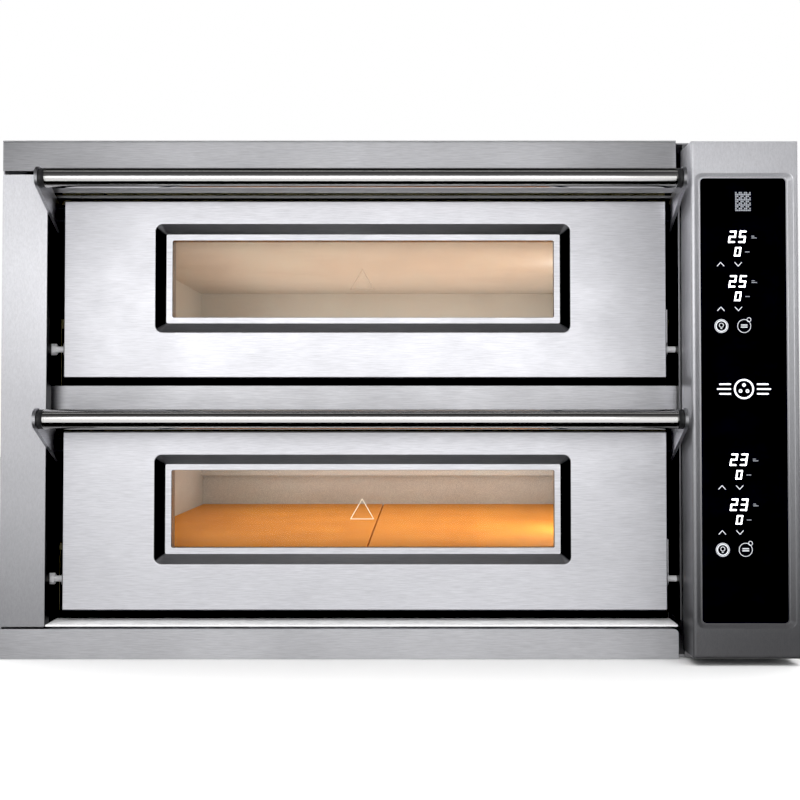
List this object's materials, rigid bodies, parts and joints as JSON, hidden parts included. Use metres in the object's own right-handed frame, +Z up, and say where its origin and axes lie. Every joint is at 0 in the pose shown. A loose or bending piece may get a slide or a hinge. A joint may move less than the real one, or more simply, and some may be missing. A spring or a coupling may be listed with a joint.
{
  "type": "countertop pizza oven",
  "caption": "Electric double-deck pizza oven: stacked baking chambers with drop-down glazed doors, full-width tube handles and a tall touch-control column at the right.",
  "frame": {"origin": "centre of the casing's base, on the surface the oven stands on", "axes": "+Z up, -Y towards the doors, +X towards the control column"},
  "size_m": [1.013, 0.965, 0.664],
  "materials": {
    "casing_steel": "satin",
    "door_steel": "satin",
    "handle_steel": "polished",
    "inner_steel": "satin",
    "chamber_steel": "satin",
    "black_glass": "polished",
    "window_glass": "polished",
    "lamp_glass": "satin",
    "baking_stone": "matte",
    "mineral_wool": "matte",
    "circuit_board": "satin",
    "black_plastic": "matte",
    "white_plastic": "satin",
    "heat_sink": "satin",
    "element_sheath": "matte",
    "bright_zinc": "satin",
    "bush_brass": "satin"
  },
  "bodies": {
    "cabinet": {"base_tray": "casing_steel", "left_side_panel": "casing_steel", "right_side_panel": "casing_steel", "top_cover": "casing_steel", "rear_panel": "casing_steel", "top_fascia": "casing_steel", "upper_header": "casing_steel", "middle_fascia": "casing_steel", "bottom_fascia": "casing_steel", "drip_ledge": "casing_steel", "left_pillar": "casing_steel", "hinge_jambs": "casing_steel", "control_column": "casing_steel", "touch_glass": "black_glass", "display_board": "circuit_board", "power_board": "circuit_board", "power_relays": "heat_sink", "terminal_block": "white_plastic", "bay_partition": "inner_steel", "fan_frame": "black_plastic", "cable_gland": "black_plastic", "flue_spigots": "casing_steel", "flue_collars": "casing_steel", "cabinet_insulation": "mineral_wool", "lower_chamber_liner": "chamber_steel", "upper_chamber_liner": "chamber_steel", "mouth_frames": "inner_steel", "baking_stones": "baking_stone", "heating_elements": "element_sheath", "lamp_housings": "inner_steel", "lamp_lenses": "lamp_glass", "lamp_bulbs": "lamp_glass", "frame_posts": "inner_steel", "pivot_pins": "bright_zinc", "casing_screws": "bright_zinc"},
    "upper_door": {"upper_door_skin": "door_steel", "upper_door_liner": "chamber_steel", "upper_outer_glass": "window_glass", "upper_inner_glass": "window_glass", "upper_window_spacer": "inner_steel", "upper_door_insulation": "mineral_wool", "upper_door_arms": "casing_steel", "upper_handle_tube": "handle_steel", "upper_handle_spacers": "black_plastic", "upper_pivot_bushes": "bush_brass", "upper_arm_studs": "inner_steel"},
    "lower_door": {"lower_door_skin": "door_steel", "lower_door_liner": "chamber_steel", "lower_outer_glass": "window_glass", "lower_inner_glass": "window_glass", "lower_window_spacer": "inner_steel", "lower_door_insulation": "mineral_wool", "lower_door_arms": "casing_steel", "lower_handle_tube": "handle_steel", "lower_handle_spacers": "black_plastic", "lower_pivot_bushes": "bush_brass", "lower_arm_studs": "inner_steel"},
    "fan": {"fan_rotor": "black_plastic"},
    "upper_damper": {"upper_damper": "inner_steel"},
    "lower_damper": {"lower_damper": "inner_steel"}
  },
  "joints": [
    {"name": "upper_door_hinge", "type": "hinge", "parent": "cabinet", "child": "upper_door", "pos_m": [-0.04, -0.383, 0.397], "axis": [1, 0, 0], "range_deg": [0, 85], "stiffness_Nm_per_rad": 3, "springref_deg": -28.65},
    {"name": "lower_door_hinge", "type": "hinge", "parent": "cabinet", "child": "lower_door", "pos_m": [-0.04, -0.383, 0.096], "axis": [1, 0, 0], "range_deg": [0, 85], "stiffness_Nm_per_rad": 3, "springref_deg": -28.65},
    {"name": "fan_spin", "type": "hinge", "parent": "cabinet", "child": "fan", "pos_m": [0.437, 0.41, 0.33], "axis": [0, 1, 0], "continuous": true},
    {"name": "upper_damper_turn", "type": "hinge", "parent": "cabinet", "child": "upper_damper", "pos_m": [-0.04, 0.437, 0.5375], "axis": [-1, 0, 0], "range_deg": [0, 90]},
    {"name": "lower_damper_turn", "type": "hinge", "parent": "cabinet", "child": "lower_damper", "pos_m": [-0.04, 0.437, 0.2365], "axis": [-1, 0, 0], "range_deg": [0, 90]}
  ]
}
